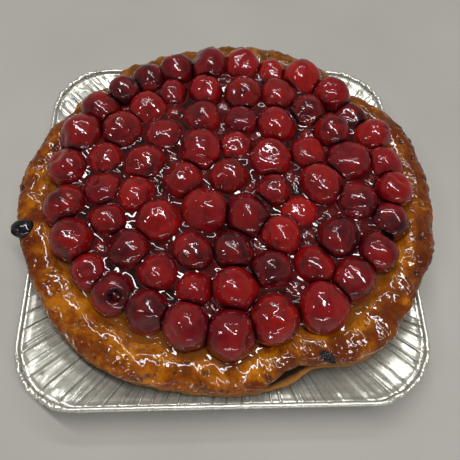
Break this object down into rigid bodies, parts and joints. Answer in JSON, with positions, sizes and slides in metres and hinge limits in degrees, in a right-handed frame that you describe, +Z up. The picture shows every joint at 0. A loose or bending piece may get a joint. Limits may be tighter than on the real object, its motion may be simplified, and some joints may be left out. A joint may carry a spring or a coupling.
{
  "type": "cherry pie",
  "caption": "Round glazed cherry pie with a raised pastry rim and whole cherries in jelly, in a square fluted foil tray.",
  "frame": {"origin": "centre of the flat underside of the tray", "axes": "+Z up out of the pie; the front, where the crust is widest and the tray's edge shows, faces -Y; +X to the right"},
  "size_m": [0.2525, 0.2417, 0.0543],
  "materials": {
    "foil_tray": "thin bright foil with pressed flutes and a rolled, crinkled edge",
    "crust": "golden to amber-brown baked pastry under a clear glaze",
    "cherry_jelly": "set translucent dark red jelly",
    "dark_berry": "glossy near-black skin",
    "cherry": "crimson skin under a thick clear glaze"
  },
  "bodies": {
    "root": {"foil_tray": "foil_tray", "crust": "crust", "cherry_jelly": "cherry_jelly", "dark_berry": "dark_berry", "cherry_01": "cherry", "cherry_02": "cherry", "cherry_03": "cherry", "cherry_04": "cherry", "cherry_05": "cherry", "cherry_06": "cherry", "cherry_07": "cherry", "cherry_08": "cherry", "cherry_09": "cherry", "cherry_10": "cherry", "cherry_11": "cherry", "cherry_12": "cherry", "cherry_13": "cherry", "cherry_14": "cherry", "cherry_15": "cherry", "cherry_16": "cherry", "cherry_17": "cherry", "cherry_18": "cherry", "cherry_19": "cherry", "cherry_20": "cherry", "cherry_21": "cherry", "cherry_22": "cherry", "cherry_23": "cherry", "cherry_24": "cherry", "cherry_25": "cherry", "cherry_26": "cherry", "cherry_27": "cherry", "cherry_28": "cherry", "cherry_29": "cherry", "cherry_30": "cherry", "cherry_31": "cherry", "cherry_32": "cherry", "cherry_33": "cherry", "cherry_34": "cherry", "cherry_35": "cherry", "cherry_36": "cherry", "cherry_37": "cherry", "cherry_38": "cherry", "cherry_39": "cherry", "cherry_40": "cherry", "cherry_41": "cherry", "cherry_42": "cherry", "cherry_43": "cherry", "cherry_44": "cherry", "cherry_45": "cherry", "cherry_46": "cherry", "cherry_47": "cherry", "cherry_48": "cherry", "cherry_49": "cherry", "cherry_50": "cherry", "cherry_51": "cherry", "cherry_52": "cherry", "cherry_53": "cherry", "cherry_54": "cherry", "cherry_55": "cherry", "cherry_56": "cherry"}
  },
  "joints": []
}
